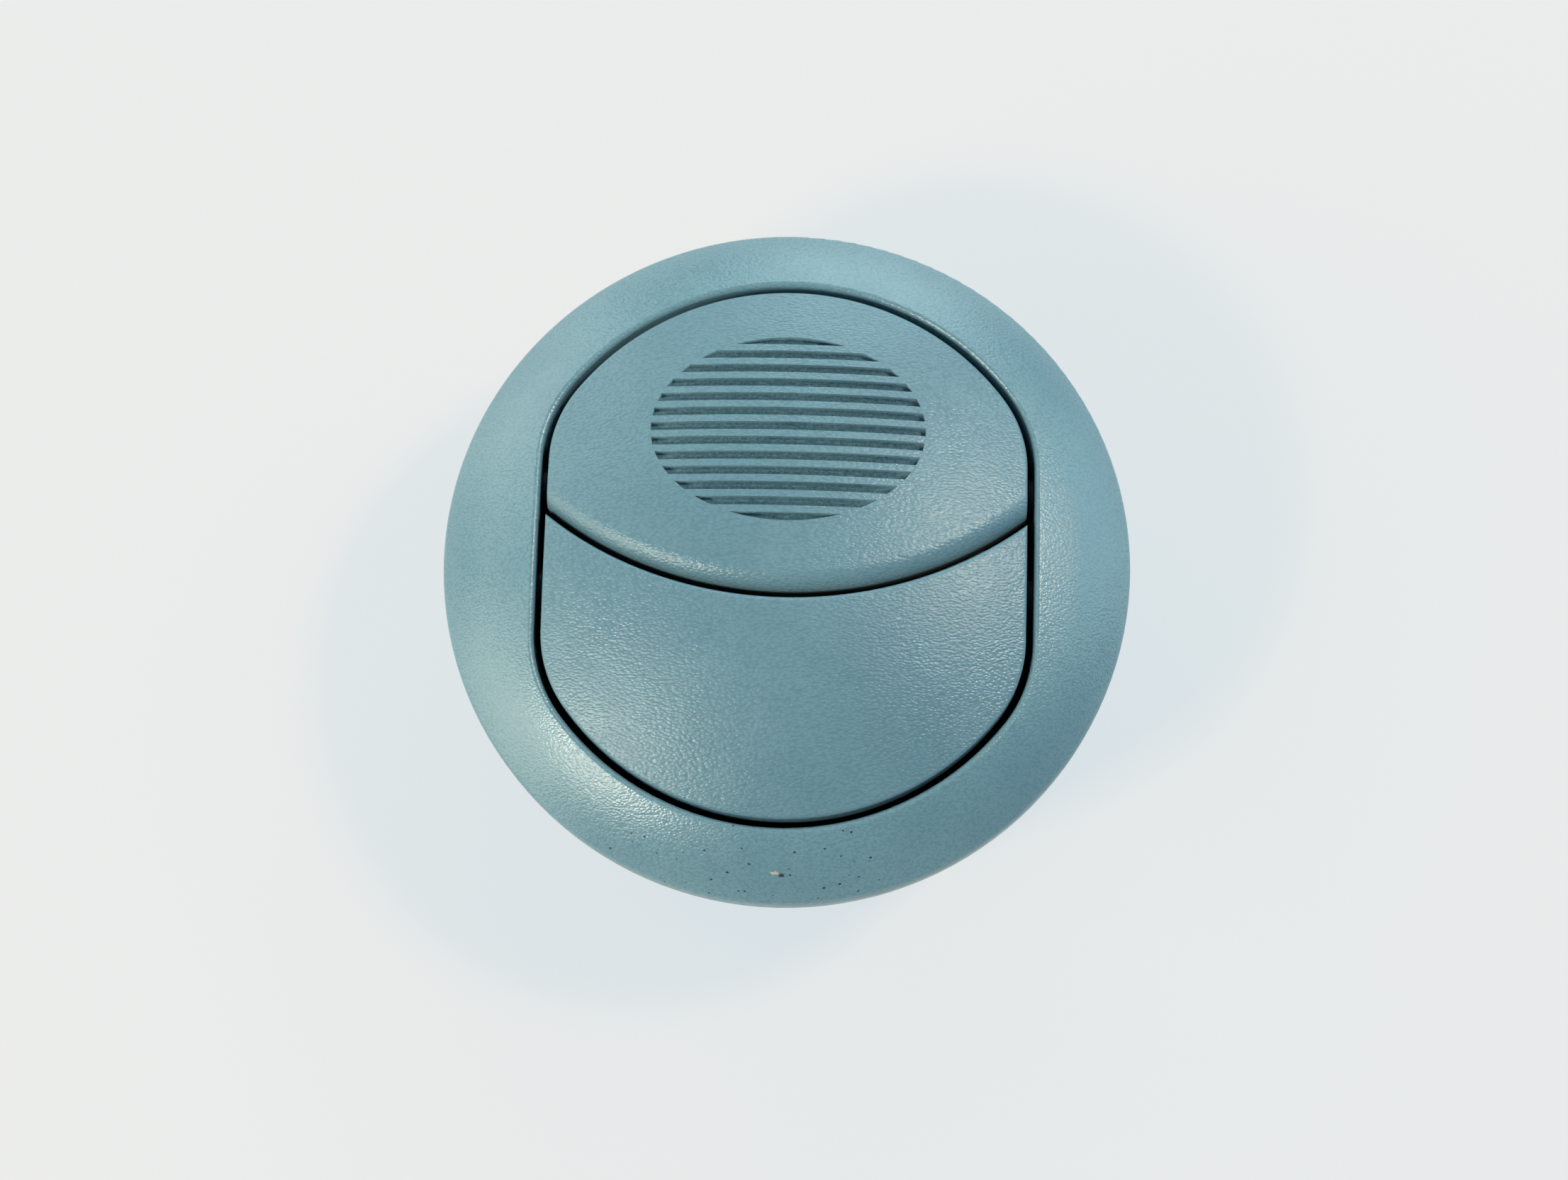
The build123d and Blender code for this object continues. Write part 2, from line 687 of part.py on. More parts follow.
with BuildPart() as mounting_collar:
    with BuildSketch(Plane.XZ):
        with BuildLine():
            Polyline(*collar_profile, close=True)
        make_face()
    revolve(axis=Axis.Z)
    with BuildSketch(Plane.XY.offset(collar_length - key_length)):
        add(ring_segments(bore_radius, collar_radius + key_height, key_width, key_angles))
    extrude(amount=key_length)
    add(ring_barbs(snap_profile, snap_width, snap_angles))
    with BuildSketch(Plane.XY.offset(hook_z - groove_play)):
        Circle(hook_groove_radius)
    extrude(amount=hook_height + 2 * groove_play, mode=Mode.SUBTRACT)
    with BuildSketch(Plane.XY.offset(snap_top_z - snap_length)):
        add(snap_slots.sketch)
    extrude(amount=snap_length, mode=Mode.SUBTRACT)
    with BuildSketch(Plane.XY.offset(snap_top_z)):
        add(ring_segments(opening_radius, flange_radius, snap_cut_width, snap_angles))
    extrude(amount=snap_slot, mode=Mode.SUBTRACT)
finish("mounting_collar", mounting_collar)

# Foam seal round the collar, in front of the duct spigot
with BuildPart() as duct_seal:
    with BuildSketch(Plane.XY.offset(seal_z)):
        Circle(collar_radius + seal_height)
        Circle(collar_radius, mode=Mode.SUBTRACT)
    extrude(amount=seal_length)
finish("duct_seal", duct_seal)
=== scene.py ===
"""Dress the round dashboard air vent: grained face, worn rim, black housing and a plain studio."""

import logging
import math
from dataclasses import dataclass
from enum import Enum

import bmesh
import bpy
from mathutils import Matrix, Vector


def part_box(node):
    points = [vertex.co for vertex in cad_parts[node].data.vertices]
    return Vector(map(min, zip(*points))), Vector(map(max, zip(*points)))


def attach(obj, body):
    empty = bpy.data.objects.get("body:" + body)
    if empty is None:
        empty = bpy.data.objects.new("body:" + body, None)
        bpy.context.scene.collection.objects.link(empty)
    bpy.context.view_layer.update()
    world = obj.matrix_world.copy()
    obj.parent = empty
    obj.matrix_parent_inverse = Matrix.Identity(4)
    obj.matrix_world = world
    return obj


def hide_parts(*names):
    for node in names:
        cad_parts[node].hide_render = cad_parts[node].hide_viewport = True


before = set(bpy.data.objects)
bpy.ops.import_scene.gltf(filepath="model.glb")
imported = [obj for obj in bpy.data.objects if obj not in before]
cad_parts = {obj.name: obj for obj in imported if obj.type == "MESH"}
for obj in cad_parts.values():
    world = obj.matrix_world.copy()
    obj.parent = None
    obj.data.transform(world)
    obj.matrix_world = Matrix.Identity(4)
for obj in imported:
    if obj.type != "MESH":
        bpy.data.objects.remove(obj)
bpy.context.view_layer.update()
log = logging.getLogger("air_vent")

MM = 0.001
# The middle of a noise pattern, which holds most of its values.
NOISE_RANGE = (0.3, 0.7)
# Half size along Z in metres, so large that height all but drops out of the measure.
UNBOUNDED = 1.0
Colour = tuple[float, float, float]
Point = tuple[float, float, float]
Pair = tuple[float, float]
Socket = bpy.types.NodeSocket


class Body(str, Enum):
    """Bodies of the frame that pieces ride on."""

    COLLAR = "collar"
    NOZZLE = "nozzle"
    UPPER = "upper_flap_set"
    LOWER = "lower_flap_set"


class Slot(str, Enum):
    """Names of the record's material slots; no piece in this script is given one."""

    FACE = "face_plastic"
    FOAM = "foam"


def linear(red: float, green: float, blue: float) -> tuple[float, float, float, float]:
    """Turn an sRGB colour of 0 to 255 into a linear colour for a socket.

    Args:
        red: Red, 0 to 255.
        green: Green, 0 to 255.
        blue: Blue, 0 to 255.

    Returns:
        Linear red, green, blue and a full alpha.
    """
    values = []
    for value in (red, green, blue):
        share = value / 255.0
        values.append(share / 12.92 if share <= 0.04045 else ((share + 0.055) / 1.055) ** 2.4)
    return values[0], values[1], values[2], 1.0


class Shader:
    """A material's node tree with short calls to add and join nodes."""

    def __init__(self, name: str) -> None:
        """Start a new node material.

        Args:
            name: The material's name.
        """
        self.material = bpy.data.materials.new(name)
        self.material.use_nodes = True
        self.nodes = self.material.node_tree.nodes
        self.links = self.material.node_tree.links
        self.surface = self.nodes["Principled BSDF"]
        self.place = self.nodes.new("ShaderNodeTexCoord").outputs["Object"]

    def feed(self, value: Socket | float | tuple, socket: Socket) -> None:
        """Fill an input.

        Args:
            value: Another node's output, or a constant.
            socket: The input to fill.
        """
        if isinstance(value, Socket):
            self.links.new(value, socket)
        else:
            socket.default_value = value

    def noise(
        self, scale: float, detail: float = 2.0, roughness: float = 0.5, seed: float = 0.0
    ) -> Socket:
        """Add a noise pattern on Object coordinates.

        Args:
            scale: Repeats in a metre.
            detail: Octaves.
            roughness: Share of each finer octave.
            seed: Fourth coordinate, which picks another pattern.

        Returns:
            The pattern's value.
        """
        node = self.nodes.new("ShaderNodeTexNoise")
        node.noise_dimensions = "4D"
        node.inputs["Scale"].default_value = scale
        node.inputs["Detail"].default_value = detail
        node.inputs["Roughness"].default_value = roughness
        node.inputs["W"].default_value = seed
        self.links.new(self.place, node.inputs["Vector"])
        return node.outputs["Fac"]

    def cells(self, size: Point, smooth: float) -> Socket:
        """Add rounded cells on Object coordinates.

        Args:
            size: A cell's size along X, Y and Z in metres.
            smooth: How far cells melt into each other.

        Returns:
            Distance from the cell's middle.
        """
        stretch = self.nodes.new("ShaderNodeMapping")
        stretch.inputs["Scale"].default_value = [1.0 / side for side in size]
        self.links.new(self.place, stretch.inputs["Vector"])
        node = self.nodes.new("ShaderNodeTexVoronoi")
        node.feature = "SMOOTH_F1"
        node.inputs["Scale"].default_value = 1.0
        node.inputs["Smoothness"].default_value = smooth
        self.links.new(stretch.outputs["Vector"], node.inputs["Vector"])
        return node.outputs["Distance"]

    def span(self, value: Socket, low: float, high: float, to_low: float, to_high: float) -> Socket:
        """Map a value smoothly from one range to another, held inside it.

        Args:
            value: The socket to map.
            low: Start of the range it comes from.
            high: End of the range it comes from.
            to_low: Result at low.
            to_high: Result at high.

        Returns:
            The mapped value.
        """
        node = self.nodes.new("ShaderNodeMapRange")
        node.interpolation_type = "SMOOTHSTEP"
        limits = (("From Min", low), ("From Max", high), ("To Min", to_low), ("To Max", to_high))
        for name, number in limits:
            node.inputs[name].default_value = number
        self.links.new(value, node.inputs["Value"])
        return node.outputs["Result"]

    def math(self, operation: str, first: Socket, second: Socket | float) -> Socket:
        """Join two values with a sum or product.

        Args:
            operation: ADD or MULTIPLY.
            first: First value.
            second: Second value, or a number.

        Returns:
            The result.
        """
        node = self.nodes.new("ShaderNodeMath")
        node.operation = operation
        self.links.new(first, node.inputs[0])
        self.feed(second, node.inputs[1])
        return node.outputs[0]

    def mix(self, share: Socket, first: Socket | tuple, second: Socket | tuple) -> Socket:
        """Mix two colours.

        Args:
            share: Share of the second colour.
            first: Colour or socket.
            second: Colour or socket.

        Returns:
            The mixed colour.
        """
        node = self.nodes.new("ShaderNodeMix")
        node.data_type = "RGBA"
        self.links.new(share, node.inputs[0])
        self.feed(first, node.inputs[6])
        self.feed(second, node.inputs[7])
        return node.outputs[2]

    def reach(self, centre: Point, size: Point) -> Socket:
        """Measure how far a point lies from a centre, in sizes of its own along each axis.

        Args:
            centre: The centre in metres.
            size: What counts as one along X, Y and Z in metres.

        Returns:
            The distance, 1 at one size from the centre.
        """
        shift = self.nodes.new("ShaderNodeVectorMath")
        shift.operation = "SUBTRACT"
        self.links.new(self.place, shift.inputs[0])
        shift.inputs[1].default_value = centre
        scale = self.nodes.new("ShaderNodeVectorMath")
        scale.operation = "DIVIDE"
        self.links.new(shift.outputs[0], scale.inputs[0])
        scale.inputs[1].default_value = size
        length = self.nodes.new("ShaderNodeVectorMath")
        length.operation = "LENGTH"
        self.links.new(scale.outputs[0], length.inputs[0])
        return length.outputs["Value"]

    def paint(self, colour: Socket, roughness: Socket | float) -> None:
        """Give the surface its colour and roughness.

        Args:
            colour: The colour.
            roughness: The roughness, or a number.
        """
        self.feed(colour, self.surface.inputs["Base Color"])
        self.feed(roughness, self.surface.inputs["Roughness"])

    def bump(self, height: Socket, depth: float) -> None:
        """Bump the surface by a height pattern.

        Args:
            height: The pattern.
            depth: Depth of the pattern in metres.
        """
        node = self.nodes.new("ShaderNodeBump")
        node.inputs["Strength"].default_value = 1.0
        node.inputs["Distance"].default_value = depth
        self.links.new(height, node.inputs["Height"])
        self.links.new(node.outputs["Normal"], self.surface.inputs["Normal"])


@dataclass(frozen=True)
class Crevice:
    """A low place under the dome's face that gets painted shade, bounded by an ellipse seen from the front.
    """

    centre: Point
    half_size: Point
    unshaded_reach: float
    shaded_reach: float
    unshaded_depth: float
    shaded_depth: float
    dome_centre: Point
    dome_radius: float

    def grime_and_shade(self, shader: Shader) -> Socket:
        """Give how much painted shade a point gets: 1 low in the crevice, 0 on the face.

        Args:
            shader: The material's node tree.

        Returns:
            The share of painted shade.
        """
        rise = shader.reach(self.dome_centre, (self.dome_radius,) * 3)
        low = 1.0 - self.shaded_depth / self.dome_radius
        high = 1.0 - self.unshaded_depth / self.dome_radius
        deep = shader.span(rise, low, high, 1.0, 0.0)
        reach = shader.reach(self.centre, self.half_size)
        if self.shaded_reach < self.unshaded_reach:
            within = shader.span(reach, self.shaded_reach, self.unshaded_reach, 1.0, 0.0)
        else:
            within = shader.span(reach, self.unshaded_reach, self.shaded_reach, 0.0, 1.0)
        return shader.math("MULTIPLY", deep, within)


@dataclass(frozen=True)
class GrainedFace:
    """Blue-grey moulded plastic with a fine pebbled grain, rubbed smoother in patches."""

    name: str
    colour: Colour = (102, 136, 150)
    pale: Colour = (110, 144, 156)
    deep: Colour = (82, 116, 130)
    # Painted shade colour for the floors of the grip grooves.
    groove_shade: Colour = (54, 90, 104)
    # Painted shade colour, near-black, for the wall under the lip and the ledge below it.
    black: Colour = (10, 15, 18)
    grain: Point = (0.54 * MM, 0.27 * MM, 0.27 * MM)
    melt: float = 0.45
    depth: float = 0.06 * MM
    fine_size: float = 0.5
    fine_height: float = 0.5
    pit_range: Pair = (0.3, 0.75)
    pit_share: float = 0.4
    dull: float = 0.34
    glossy: float = 0.26
    groove_shade_dulling: float = 0.3
    gap_shade_dulling: float = 0.5
    specular: float = 0.6
    groove_shade_specular: float = 0.25
    specular_fade: float = 0.5
    drift_scale: float = 55.0
    rub_scale: float = 160.0
    shade_mottle_scale: float = 2600.0
    shade_mottle_range: Pair = (0.35, 0.65)
    shade_mottle_share: Pair = (0.1, 0.65)
    grip: Crevice | None = None
    gap: Crevice | None = None

    def build(self) -> bpy.types.Material:
        """Make the material.

        Returns:
            The finished material.
        """
        shader = Shader(self.name)
        pebbles = shader.cells(self.grain, self.melt)
        fine = shader.noise(1.0 / (self.fine_size * self.grain[1]), roughness=0.55, seed=3.0)
        low_pebbles = shader.math("MULTIPLY", pebbles, -1.0)
        height = shader.math("ADD", low_pebbles, shader.math("MULTIPLY", fine, self.fine_height))
        drift = shader.noise(self.drift_scale, detail=3.0, roughness=0.6, seed=1.0)
        drifted = shader.span(drift, *NOISE_RANGE, 0.0, 1.0)
        tone = shader.mix(drifted, linear(*self.colour), linear(*self.pale))
        pits = shader.span(pebbles, *self.pit_range, 0.0, self.pit_share)
        colour = shader.mix(pits, tone, linear(*self.deep))
        rubbed = shader.noise(self.rub_scale, detail=3.0, roughness=0.6, seed=5.0)
        rough = shader.span(rubbed, *NOISE_RANGE, self.glossy, self.dull)
        shine = self.specular
        # Painted shade: the grip grooves' floors are painted darker, mottled by a noise, and made duller.
        if self.grip:
            grime_and_shade = self.grip.grime_and_shade(shader)
            specks = shader.noise(self.shade_mottle_scale, detail=3.0, roughness=0.7, seed=21.0)
            shade_mottle = shader.span(specks, *self.shade_mottle_range, *self.shade_mottle_share)
            colour = shader.mix(shader.math("MULTIPLY", grime_and_shade, shade_mottle), colour, linear(*self.groove_shade))
            rough = shader.math("ADD", rough, shader.math("MULTIPLY", grime_and_shade, self.groove_shade_dulling))
            shine = shader.span(grime_and_shade, 0.0, self.specular_fade, self.specular, self.groove_shade_specular)
        # Painted shade: the wall under the upper flap's lip and the lower flap's ledge are painted
        # near-black and made duller.
        if self.gap:
            gap_shade = self.gap.grime_and_shade(shader)
            colour = shader.mix(gap_shade, colour, linear(*self.black))
            rough = shader.math("ADD", rough, shader.math("MULTIPLY", gap_shade, self.gap_shade_dulling))
        shader.paint(colour, rough)
        shader.feed(shine, shader.surface.inputs["Specular IOR Level"])
        shader.bump(height, self.depth)
        return shader.material


@dataclass(frozen=True)
class Grime:
    """Dark dried specks on the face."""

    name: str = "dried_grime"
    colour: Colour = (44, 62, 68)
    shade: Colour = (28, 38, 42)
    patch_scale: float = 2600.0
    glossy: float = 0.55
    dull: float = 0.8
    depth: float = 0.02 * MM

    def build(self) -> bpy.types.Material:
        """Make the material.

        Returns:
            The finished material.
        """
        shader = Shader(self.name)
        patch = shader.noise(self.patch_scale, detail=3.0, roughness=0.6, seed=11.0)
        colour = shader.mix(patch, linear(*self.colour), linear(*self.shade))
        shader.paint(colour, shader.span(patch, *NOISE_RANGE, self.glossy, self.dull))
        shader.bump(patch, self.depth)
        return shader.material


@dataclass(frozen=True)
class BareChip:
    """Pale plastic with a rusty stain, laid bare at the nick in the bezel."""

    name: str = "bare_chip"
    colour: Colour = (178, 178, 168)
    stain: Colour = (164, 116, 88)
    stain_scale: float = 1500.0
    stain_range: Pair = (0.4, 0.62)
    torn_scale: float = 5000.0
    roughness: float = 0.5
    depth: float = 0.03 * MM

    def build(self) -> bpy.types.Material:
        """Make the material.

        Returns:
            The finished material.
        """
        shader = Shader(self.name)
        patch = shader.noise(self.stain_scale, roughness=0.6, seed=12.0)
        stained = shader.span(patch, *self.stain_range, 0.0, 1.0)
        shader.paint(shader.mix(stained, linear(*self.colour), linear(*self.stain)), self.roughness)
        shader.bump(shader.noise(self.torn_scale, seed=13.0), self.depth)
        return shader.material


@dataclass(frozen=True)
class BlackHousing:
    """Black moulded plastic with a faint eroded texture and a little dust."""

    name: str = "black_housing"
    colour: Colour = (26, 27, 28)
    dusty: Colour = (48, 48, 47)
    texture_scale: float = 5200.0
    dust_scale: float = 140.0
    dust_range: Pair = (0.52, 0.78)
    dust_share: float = 0.7
    glossy: float = 0.42
    dull: float = 0.62
    depth: float = 0.03 * MM

    def build(self) -> bpy.types.Material:
        """Make the material.

        Returns:
            The finished material.
        """
        shader = Shader(self.name)
        texture = shader.noise(self.texture_scale, roughness=0.6, seed=2.0)
        clouds = shader.noise(self.dust_scale, detail=5.0, roughness=0.7, seed=4.0)
        dust = shader.span(clouds, *self.dust_range, 0.0, self.dust_share)
        colour = shader.mix(dust, linear(*self.colour), linear(*self.dusty))
        shader.paint(colour, shader.span(texture, *NOISE_RANGE, self.glossy, self.dull))
        shader.bump(texture, self.depth)
        return shader.material


@dataclass(frozen=True)
class NaturalAcetal:
    """Milky moulded acetal with faint flow marks."""

    name: str = "natural_acetal"
    colour: Colour = (206, 203, 192)
    shade: Colour = (186, 182, 169)
    flow_scale: float = 420.0
    skin_scale: float = 3000.0
    glossy: float = 0.28
    dull: float = 0.4
    depth: float = 0.01 * MM

    def build(self) -> bpy.types.Material:
        """Make the material.

        Returns:
            The finished material.
        """
        shader = Shader(self.name)
        flow = shader.noise(self.flow_scale, detail=3.0, seed=6.0)
        colour = shader.mix(flow, linear(*self.colour), linear(*self.shade))
        shader.paint(colour, shader.span(flow, *NOISE_RANGE, self.glossy, self.dull))
        shader.bump(shader.noise(self.skin_scale, seed=7.0), self.depth)
        return shader.material


@dataclass(frozen=True)
class SoftRubber:
    """Matt silicone of the friction bushes."""

    name: str = "soft_rubber"
    colour: Colour = (34, 34, 35)
    shade: Colour = (52, 51, 50)
    bloom_scale: float = 900.0
    skin_scale: float = 4500.0
    roughness: float = 0.75
    depth: float = 0.02 * MM

    def build(self) -> bpy.types.Material:
        """Make the material.

        Returns:
            The finished material.
        """
        shader = Shader(self.name)
        bloom = shader.noise(self.bloom_scale, detail=4.0, roughness=0.6, seed=8.0)
        shader.paint(shader.mix(bloom, linear(*self.colour), linear(*self.shade)), self.roughness)
        shader.bump(shader.noise(self.skin_scale, seed=9.0), self.depth)
        return shader.material


@dataclass(frozen=True)
class OpenFoam:
    """Charcoal open-cell foam."""

    name: str = "open_foam"
    colour: Colour = (44, 44, 45)
    pore: Colour = (16, 16, 17)
    cell: float = 0.8 * MM
    pore_range: Pair = (0.15, 0.5)
    melt: float = 0.2
    roughness: float = 0.95
    depth: float = 0.35 * MM

    def build(self) -> bpy.types.Material:
        """Make the material.

        Returns:
            The finished material.
        """
        shader = Shader(self.name)
        pores = shader.cells((self.cell, self.cell, self.cell), self.melt)
        hollow = shader.span(pores, *self.pore_range, 1.0, 0.0)
        shader.paint(shader.mix(hollow, linear(*self.colour), linear(*self.pore)), self.roughness)
        shader.bump(pores, self.depth)
        return shader.material


@dataclass
class DomedFace:
    """The three grained pieces of the face: bezel and both flaps, on one dome."""

    dome_radius: float = 92.0 * MM
    opening_radius: float = 35.0 * MM
    opening_height: float = 38.8 * MM
    roll_start: float = 36.0 * MM
    roll_radius: float = 24.0 * MM
    grip_y: float = 14.7 * MM
    grip_half_size: Pair = (17.6 * MM, 12.8 * MM)
    divide_y: float = 39.45 * MM
    divide_radius: float = 46.1 * MM
    crease: float = math.radians(32.0)
    weld: float = 0.002 * MM
    slack: float = 0.006 * MM
    seam: float = 0.001 * MM
    facing: float = 0.9

    def centre(self) -> Vector:
        """Middle of the dome's ball."""
        drop = math.sqrt(self.dome_radius**2 - self.opening_radius**2)
        return Vector((0.0, 0.0, self.opening_height - drop))

    def roll_centre(self) -> Pair:
        """Radius and height of the middle of the bezel's rolled section."""
        share = self.roll_radius / self.dome_radius
        start_height = self.centre().z + math.sqrt(self.dome_radius**2 - self.roll_start**2)
        return self.roll_start * (1.0 - share), start_height + (self.centre().z - start_height) * share

    def face_normal(self, point: Vector) -> Vector | None:
        """Give the true normal where a point lies on the dome or the bezel's roll.

        Args:
            point: A place on a face piece.

        Returns:
            The normal, or None away from both surfaces.
        """
        ray = point - self.centre()
        reach = math.hypot(point.x, point.y)
        if reach < self.roll_start + self.seam:
            return ray.normalized() if abs(ray.length - self.dome_radius) < self.slack else None
        roll_reach, roll_height = self.roll_centre()
        out, up = reach - roll_reach, point.z - roll_height
        if abs(math.hypot(out, up) - self.roll_radius) > self.slack:
            return None
        return Vector((out * point.x / reach, out * point.y / reach, up)).normalized()

    def smooth_copy(self, node: str, body: Body, finish: bpy.types.Material) -> bpy.types.Object:
        """Copy a CAD node's shape with joined corners and the dome's true normals.

        Args:
            node: CAD node to stand for.
            body: Body that the copy rides on.
            finish: Material of the copy.

        Returns:
            The finished piece.
        """
        shape = bmesh.new()
        shape.from_mesh(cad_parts[node].data)
        bmesh.ops.remove_doubles(shape, verts=shape.verts, dist=self.weld)
        mesh = bpy.data.meshes.new(node + "_skin")
        shape.to_mesh(mesh)
        shape.free()
        mesh.materials.clear()
        mesh.materials.append(finish)
        mesh.polygons.foreach_set("use_smooth", [True] * len(mesh.polygons))
        mesh.polygons.foreach_set("material_index", [0] * len(mesh.polygons))
        mesh.set_sharp_from_angle(angle=self.crease)
        self.true_normals(mesh)
        piece = bpy.data.objects.new(node + "_skin", mesh)
        bpy.context.scene.collection.objects.link(piece)
        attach(piece, body.value)
        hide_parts(node)
        return piece

    def true_normals(self, mesh: bpy.types.Mesh) -> None:
        """Give corners on the dome and the roll those surfaces' own normals.

        Args:
            mesh: Mesh to set normals on.
        """
        known = [self.face_normal(vertex.co) for vertex in mesh.vertices]
        normals = []
        for polygon in mesh.polygons:
            for index in polygon.vertices:
                true = known[index]
                kept = true is not None and polygon.normal.dot(true) > self.facing
                normals.append(true if kept else Vector((0.0, 0.0, 0.0)))
        mesh.normals_split_custom_set(normals)

    def on_bezel(self, x: float, y: float) -> Vector:
        """Give the point of the bezel's face above a place.

        Args:
            x: Place along X in metres.
            y: Place along Y in metres.

        Returns:
            The point on the dome or the roll.
        """
        reach = math.hypot(x, y)
        if reach < self.roll_start:
            return Vector((x, y, self.centre().z + math.sqrt(self.dome_radius**2 - reach**2)))
        roll_reach, roll_height = self.roll_centre()
        return Vector((x, y, roll_height + math.sqrt(self.roll_radius**2 - (reach - roll_reach) ** 2)))

    def crevice(
        self,
        middle: float,
        half_size: Pair,
        reach: Pair,
        depth: Pair,
    ) -> Crevice:
        """Describe a low place under the dome's face.

        Args:
            middle: Where its middle lies along Y.
            half_size: Half its width and height, seen from the front.
            reach: Share of the half size where it has no painted shade, then where its painted shade is
                full.
            depth: Depth under the dome where it has no painted shade, then where its painted shade is full.

        Returns:
            The crevice.
        """
        ball = (tuple(self.centre()), self.dome_radius)
        return Crevice((0.0, middle, 0.0), (*half_size, UNBOUNDED), *reach, *depth, *ball)

    def finishes(self) -> tuple[bpy.types.Material, ...]:
        """Make the grain of the bezel, the upper flap and the lower flap.

        Returns:
            The three materials.
        """
        ring = GrainedFace(
            "ring_grain",
            colour=(107, 142, 155),
            pale=(115, 150, 161),
            grain=(0.42 * MM, 0.27 * MM, 0.27 * MM),
            depth=0.04 * MM,
            specular=0.85,
        )
        arc = (self.divide_radius, self.divide_radius)
        # The grip grooves get painted shade below the dome's face.
        grooves = self.crevice(
            self.grip_y, self.grip_half_size, reach=(1.04, 1.0), depth=(0.1 * MM, 0.55 * MM)
        )
        # The wall under the lip and the ledge below it get painted shade, so that the divide shows as a
        # black line.
        under_lip = self.crevice(self.divide_y, arc, reach=(0.975, 0.985), depth=(1.5 * MM, 2.1 * MM))
        ledge = self.crevice(self.divide_y, arc, reach=(1.026, 1.02), depth=(0.4 * MM, 0.9 * MM))
        upper = GrainedFace("upper_grain", grip=grooves, gap=under_lip)
        lower = GrainedFace("lower_grain", gap=ledge)
        return ring.build(), upper.build(), lower.build()

    def build(self) -> bpy.types.Object:
        """Make and report the three face pieces.

        Returns:
            The bezel's piece.
        """
        ring, upper, lower = self.finishes()
        bezel = self.smooth_copy("bezel_ring", Body.NOZZLE, ring)
        upper_flap = self.smooth_copy("upper_flap", Body.UPPER, upper)
        lower_flap = self.smooth_copy("lower_flap", Body.LOWER, lower)
        for piece in (bezel, upper_flap, lower_flap):
            log.info("%s: %d faces", piece.name, len(piece.data.polygons))
        return bezel


class Grower:
    """A Geometry Nodes tree that is grown into a plain mesh."""

    def __init__(self, name: str) -> None:
        """Start a tree with a mesh input and a mesh output.

        Args:
            name: The tree's name.
        """
        self.tree = bpy.data.node_groups.new(name, "GeometryNodeTree")
        self.values: dict[str, object] = {}
        for side in ("INPUT", "OUTPUT"):
            self.tree.interface.new_socket("Geometry", in_out=side, socket_type="NodeSocketGeometry")
        self.source = self.tree.nodes.new("NodeGroupInput")
        self.result = self.tree.nodes.new("NodeGroupOutput")

    def setting(self, name: str, kind: str, value: object) -> Socket:
        """Add a named input.

        Args:
            name: The input's name.
            kind: Float, Int, Vector or Material.
            value: What it is set to.

        Returns:
            The input's socket inside the tree.
        """
        socket = self.tree.interface.new_socket(name, in_out="INPUT", socket_type="NodeSocket" + kind)
        self.values[socket.identifier] = value
        return self.source.outputs[name]

    def add(self, kind: str, **links: object) -> bpy.types.Node:
        """Add a node and fill its inputs.

        Args:
            kind: The node's type.
            **links: Sockets or values for inputs, by name with _ for a blank, or by N_ and a number.
                A name in lower case sets a property of the node.

        Returns:
            The node.
        """
        node = self.tree.nodes.new(kind)
        for name, value in links.items():
            if name[0].islower():
                setattr(node, name, value)
        for name, value in links.items():
            if name[0].islower():
                continue
            socket = node.inputs[int(name[2:]) if name.startswith("N_") else name.replace("_", " ")]
            if isinstance(value, Socket):
                self.tree.links.new(value, socket)
            else:
                socket.default_value = value
        return node

    def math(self, operation: str, first: Socket, second: Socket | float) -> Socket:
        """Join two values.

        Args:
            operation: The sum, product or comparison.
            first: First value.
            second: Second value, or a number.

        Returns:
            The result.
        """
        return self.add("ShaderNodeMath", operation=operation, N_0=first, N_1=second).outputs[0]

    def grow(
        self, name: str, shape: Socket, finish: bpy.types.Material, base: bpy.types.Mesh
    ) -> bpy.types.Object:
        """End the tree, run it on a base mesh and keep the plain mesh.

        Args:
            name: The piece's name.
            shape: The tree's last shape.
            finish: Material of the piece.
            base: Mesh that the tree starts from.

        Returns:
            The piece, with no modifier left.
        """
        whole = self.add("GeometryNodeRealizeInstances", Geometry=shape)
        coat = self.setting("Finish", "Material", finish)
        dressed = self.add("GeometryNodeSetMaterial", Geometry=whole.outputs[0], Material=coat)
        self.tree.links.new(dressed.outputs[0], self.result.inputs[0])
        seedling = bpy.data.objects.new(name + "_base", base)
        bpy.context.scene.collection.objects.link(seedling)
        modifier = seedling.modifiers.new(name, "NODES")
        modifier.node_group = self.tree
        for identifier, value in self.values.items():
            modifier[identifier] = value
        graph = bpy.context.evaluated_depsgraph_get()
        mesh = bpy.data.meshes.new_from_object(seedling.evaluated_get(graph))
        bpy.data.objects.remove(seedling)
        mesh.name = name
        piece = bpy.data.objects.new(name, mesh)
        bpy.context.scene.collection.objects.link(piece)
        return piece


